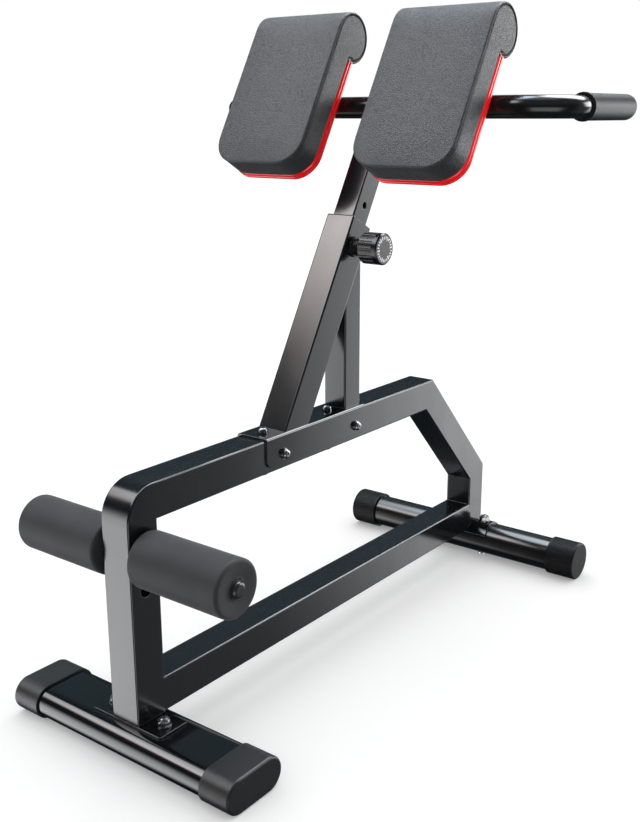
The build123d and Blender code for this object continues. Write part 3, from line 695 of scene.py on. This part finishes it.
def roller(side):
    """Foam sleeve turned on its axle: full in the middle, soft rims, ends slightly dished round the core."""
    node = "roller_foam_" + side
    low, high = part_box(node)
    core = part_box("roller_core_" + side)
    bore = (core[1].z - core[0].z) / 2
    centre = (low + high) / 2
    radius = (high.z - low.z) / 2
    reach = (high.y - low.y) / 2
    soft = 4.5 * mm         # rounding of the rims
    dish = [(0.0, 0.0), (1.4, 0.4), (2.0, 3.0), (1.0, 9.0)]     # depth and height over the core, mm
    half_profile = [(depth * mm, bore + rise * mm) for depth, rise in dish]
    half_profile.append((0.0, radius - 1.25 * soft))
    rim_steps = 6
    for step in range(rim_steps + 1):
        turn = math.pi / 2 * step / rim_steps
        half_profile.append((soft * (1 - math.cos(turn)), radius - soft + soft * math.sin(turn)))
    half_profile += [(reach * share, radius) for share in (0.12, 0.3, 0.5, 0.75)]
    profile = [(-reach + depth, r) for depth, r in half_profile]
    profile += [(reach - depth, r) for depth, r in reversed(half_profile)]
    builder = bmesh.new()
    segments = 72
    ripple = 0.12 * mm
    rings = []
    for y, r in profile:
        ring = []
        for step in range(segments):
            turn = 2 * math.pi * step / segments
            swell = ripple * math.sin(3 * turn + 40 * y) * math.cos(55 * y) if r > radius - 1 * mm else 0.0
            x = (r + swell) * math.cos(turn)
            z = (r + swell) * math.sin(turn)
            ring.append(centre + Vector((x, y, z)))
        rings.append(ring)
    rings.append(rings[0])
    loft(builder, rings)
    finish_piece("foam_" + side, builder, "roller_" + side, "foam", [node], levels=1)


for side in ("near", "far"):
    roller(side)


# ---------------------------------------------------------------- knob face print

def knob_marks():
    """Ring of plain tick marks printed on the knob's face."""
    low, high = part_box("knob_cap")
    centre = Vector(((low.x + high.x) / 2, low.y, (low.z + high.z) / 2))
    radius = (high.x - low.x) / 2
    thickness = 0.12 * mm
    builder = bmesh.new()

    def patch(r_from, r_to, start, width):
        """Thin raised patch between two radii, width degrees wide."""
        steps = max(1, round(width / 6))
        turns = [math.radians(start + width * step / steps) for step in range(steps + 1)]
        lines = []
        for r in (r_from, r_to):
            lines.append([centre + Vector((r * math.cos(t), 0, r * math.sin(t))) for t in turns])
        outline = lines[0] + list(reversed(lines[1]))
        face = builder.faces.new([builder.verts.new(p) for p in outline])
        made = bmesh.ops.extrude_face_region(builder, geom=[face])
        moved = [item for item in made["geom"] if isinstance(item, bmesh.types.BMVert)]
        bmesh.ops.translate(builder, verts=moved, vec=near * thickness)

    ticks = 24
    for index in range(ticks):
        long = index % 4 == 0
        inner = radius * (0.64 if long else 0.72)
        patch(inner, radius * 0.95, 360 * index / ticks, 9.5 if long else 8)
    finish_piece("knob_marks", builder, "knob", "knob_plastic", material="white_print")


knob_marks()


# ---------------------------------------------------------------- stage, light and camera

def mirrored_studio(tree, ray):
    """What glossy surfaces see along a ray: dark walls with lit panels. Each panel lies between two
    headings, counted from +X towards +Y, and two heights, all in degrees."""
    xyz = add_node(tree, "SeparateXYZ", {0: ray})
    degree = 180 / math.pi
    heading = maths(tree, "MULTIPLY", maths(tree, "ARCTAN2", xyz.outputs[1], xyz.outputs[0]), degree)
    height = maths(tree, "MULTIPLY", maths(tree, "ARCSINE", xyz.outputs[2]), degree)

    def window(value, low, high):
        """1 between the inner pair of limits, fading to 0 at the outer pair; limits are (outer, inner)."""
        rise = remap(tree, value, low[0], low[1], 0.0, 1.0, True)
        fall = remap(tree, value, high[0], high[1], 0.0, 1.0, True)
        return maths(tree, "MULTIPLY", rise, fall)

    def panel(strength, heading_low, heading_high, height_low, height_high):
        """A lit panel with soft edges."""
        across = window(heading, heading_low, heading_high)
        up = window(height, height_low, height_high)
        return maths(tree, "MULTIPLY", maths(tree, "MULTIPLY", across, up), strength)

    def light(colour, strength):
        """A coloured glow."""
        return add_node(tree, "Emission", {"Color": colour, "Strength": strength}).outputs[0]

    # high boxes, whose light falls on the slanted post and on top of the round tubes
    soft_box = panel(12.5, (104, 130), (166, 150), (31, 40), (64, 38))
    box_edge = panel(6.5, (92, 101), (126, 114), (36, 44), (64, 50))
    top_box = panel(12.0, (20, 44), (132, 112), (54, 62), (88, 76))
    overhead = panel(1.3, (-180, -170), (180, 170), (60, 76), (120, 100))
    strip = panel(15.0, (-38, -27), (28, 15), (32, 39), (80, 66))
    cooler = remap(tree, height, 38.0, 56.0, 0.0, 1.0)
    box_tint = mix_colour(tree, cooler, (1.0, 0.90, 0.88), (0.80, 0.91, 1.0))

    # lit floor, seen in the upright faces
    floor_glow = panel(5.0, (100, 116), (150, 141), (-52, -27), (15, -11))
    front_floor = panel(2.0, (-175, -160), (-95, -115), (-50, -38), (-4, -14))

    # low panels, seen in the near faces
    band_box = panel(10.0, (-54, -44), (-18, -27), (-2, 5), (28, 18))
    side_box = panel(4.6, (-27, -21), (14, -4), (-22, -11), (9, -3))
    far_wall = panel(0.25, (-80, -62), (-38, -44), (-48, -34), (16, 6))

    # wall that grows brighter along its run and then ends
    rising = remap(tree, heading, -48.0, -30.0, 0.0, 1.0, True)
    ending = remap(tree, heading, -27.5, -22.0, 3.4, 0.0, True)
    run = maths(tree, "MULTIPLY", maths(tree, "MULTIPLY", rising, rising), ending)
    wall = maths(tree, "MULTIPLY", run, window(height, (-36, -15), (16, 4)))

    # faint light everywhere, stronger above
    upper = remap(tree, height, 8.0, 28.0, 0.05, 0.27, True)
    ahead = remap(tree, heading, 50.0, 85.0, 1.0, 0.4, True)
    dusk = maths(tree, "MULTIPLY", upper, ahead)

    pale = wall
    for part in (floor_glow, front_floor, band_box, side_box, strip, box_edge, far_wall):
        pale = maths(tree, "ADD", pale, part)
    glows = [
        light(box_tint, soft_box),
        light((0.98, 0.985, 1.0, 1), pale),
        light((0.80, 0.90, 1.0, 1), maths(tree, "ADD", top_box, overhead)),
        light((0.58, 0.85, 1.0, 1), dusk),
    ]
    total = glows[0]
    for glow in glows[1:]:
        total = add_node(tree, "AddShader", {0: total, 1: glow}).outputs[0]
    return total


def studio_floor():
    """White floor that keeps its soft shadows; glossy surfaces see the studio through it."""
    bpy.ops.mesh.primitive_plane_add(size=60, location=(0, 0, -0.2 * mm))
    floor = bpy.context.object
    floor.name = "studio_floor"
    material, tree, shader = new_material("studio_floor")
    speckle = mix_colour(tree, noise(tree, 4 * mm, 3), (0.83, 0.83, 0.83), (0.86, 0.86, 0.86))
    feed(tree, shader, Base_Color=speckle, Roughness=1.0, Specular_IOR_Level=0.0)
    rays = add_node(tree, "LightPath")
    lift = maths(tree, "MULTIPLY", rays.outputs["Is Camera Ray"], 0.20)
    glow = add_node(tree, "Emission", {"Strength": lift})
    paper = add_node(tree, "AddShader", {0: shader.outputs[0], 1: glow.outputs[0]})
    incoming = add_node(tree, "NewGeometry").outputs["Incoming"]
    ray = add_node(tree, "VectorMath", {0: incoming, 3: -1.0}, operation="SCALE").outputs["Vector"]
    choice = {0: rays.outputs["Is Glossy Ray"], 1: paper.outputs[0], 2: mirrored_studio(tree, ray)}
    mixed = add_node(tree, "MixShader", choice)
    tree.links.new(mixed.outputs[0], tree.nodes["Material Output"].inputs["Surface"])
    material.cycles.emission_sampling = "NONE"
    floor.data.materials.append(material)


def studio_world():
    """White surround for the eye and for soft light; glossy surfaces see the studio instead."""
    world = bpy.data.worlds.new("studio")
    bpy.context.scene.world = world
    world.use_nodes = True
    tree = world.node_tree
    tree.nodes.clear()
    mirror = mirrored_studio(tree, add_node(tree, "TexCoord").outputs["Generated"])
    soft = add_node(tree, "Background", {"Color": (0.985, 0.992, 1.0, 1), "Strength": 0.95})
    paper = add_node(tree, "Background", {"Color": (1, 1, 1, 1), "Strength": 1.0})
    rays = add_node(tree, "LightPath")
    matte_choice = {0: rays.outputs["Is Camera Ray"], 1: soft.outputs[0], 2: paper.outputs[0]}
    matte = add_node(tree, "MixShader", matte_choice)
    choice = {0: rays.outputs["Is Glossy Ray"], 1: matte.outputs[0], 2: mirror}
    mixed = add_node(tree, "MixShader", choice)
    output = add_node(tree, "OutputWorld", {0: mixed.outputs[0]})
    output.is_active_output = True
    world.cycles.sampling_method = "NONE"      # each ray kind sees its own studio


def studio_sun():
    """Very soft light from behind and above, so that pale shadows fall towards the eye."""
    data = bpy.data.lights.new("sun", "SUN")
    data.energy = 0.62
    data.angle = math.radians(70)
    sun = bpy.data.objects.new("sun", data)
    sun.rotation_mode = "QUATERNION"
    sun.rotation_quaternion = Vector((-0.42, -0.20, -0.88)).to_track_quat("-Z", "Y")
    sun.visible_glossy = False
    bpy.context.scene.collection.objects.link(sun)


def studio_camera():
    """Camera at the viewing angle of the product picture: low, from the near rear corner."""
    heading = math.radians(37.39)
    pitch = math.radians(15.77)
    roll = math.radians(0.09)
    eye = Vector((-1.2645, -0.9522, 0.8192))
    level = math.cos(pitch)
    forward = Vector((level * math.cos(heading), level * math.sin(heading), -math.sin(pitch)))
    right = forward.cross(Vector((0, 0, 1))).normalized()
    down = forward.cross(right)
    x_axis = right * math.cos(roll) + down * math.sin(roll)
    y_axis = -(down * math.cos(roll) - right * math.sin(roll))
    turn = Matrix((x_axis, y_axis, -forward)).transposed()
    data = bpy.data.cameras.new("camera")
    data.sensor_width = 36.0
    data.lens = 46.26
    data.shift_x = -0.0020
    data.shift_y = 0.0022
    data.clip_end = 100
    camera = bpy.data.objects.new("camera", data)
    camera.matrix_world = Matrix.Translation(eye) @ turn.to_4x4()
    bpy.context.scene.collection.objects.link(camera)
    bpy.context.scene.camera = camera


studio_floor()
studio_world()
studio_sun()
studio_camera()
bpy.context.scene.view_settings.view_transform = "Standard"
